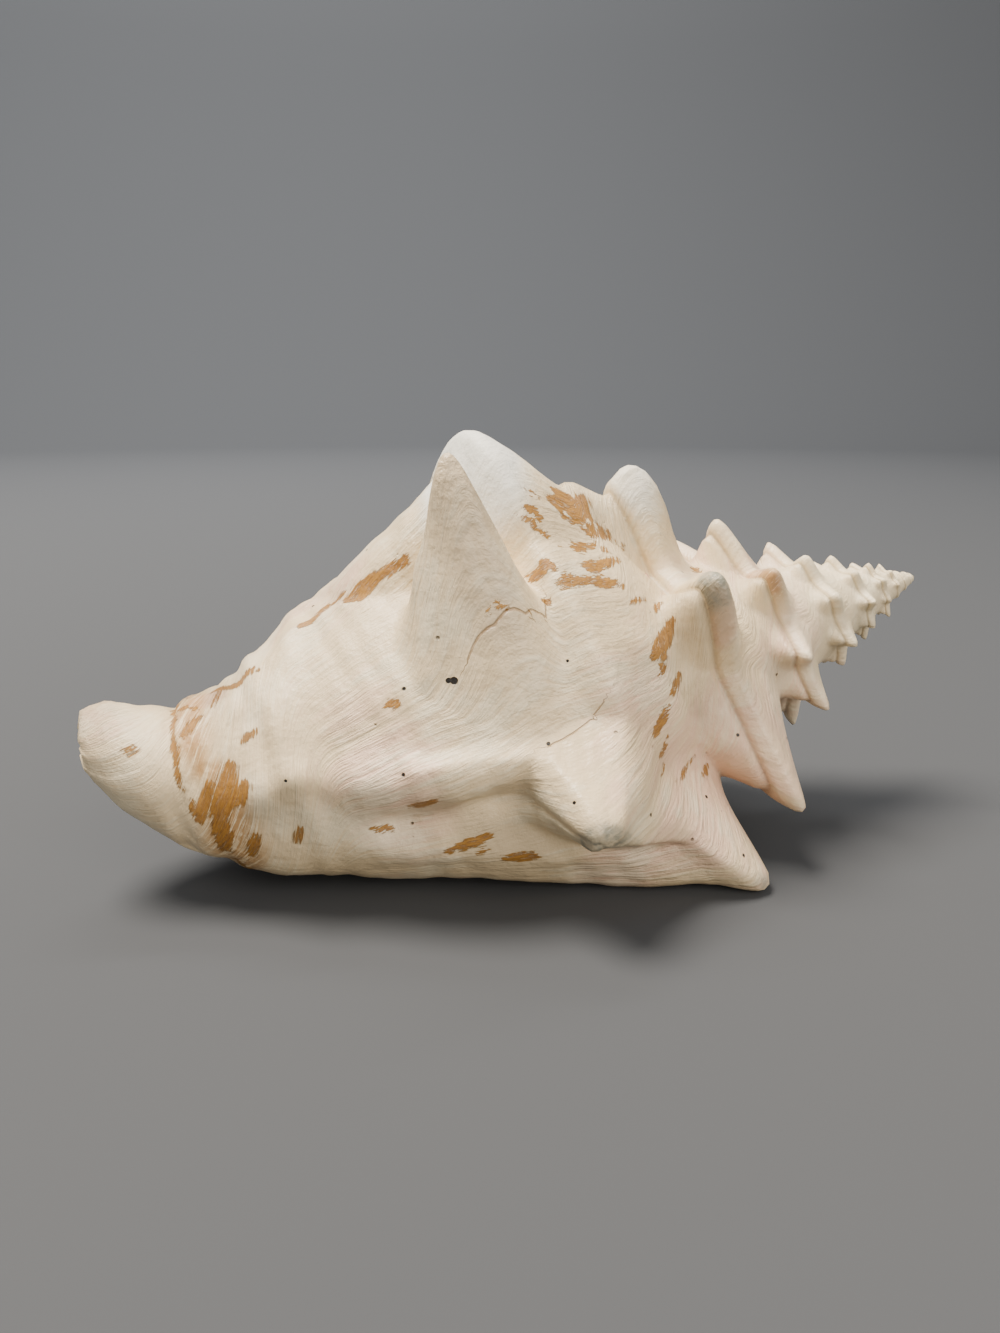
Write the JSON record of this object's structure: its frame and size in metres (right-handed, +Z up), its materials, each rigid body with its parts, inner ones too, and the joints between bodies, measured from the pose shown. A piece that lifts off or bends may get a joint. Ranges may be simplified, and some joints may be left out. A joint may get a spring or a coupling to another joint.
{
  "type": "conch shell",
  "caption": "Large spiral sea shell lying on its aperture, with a flared lip, a row of blunt shoulder spines, a stepped pointed spire and a hollow last whorl.",
  "frame": {"origin": "on the table under the middle of the shell's box, as the shell lies on its aperture", "axes": "+X along the length towards the tip of the spire, +Y towards the flared lip, +Z up from the table"},
  "size_m": [0.2328, 0.1704, 0.1111],
  "materials": {
    "shell_cream": "satin cream outside with ochre streaks, glossy pink inside the aperture"
  },
  "bodies": {
    "root": {"conch_shell": "shell_cream"}
  },
  "joints": []
}
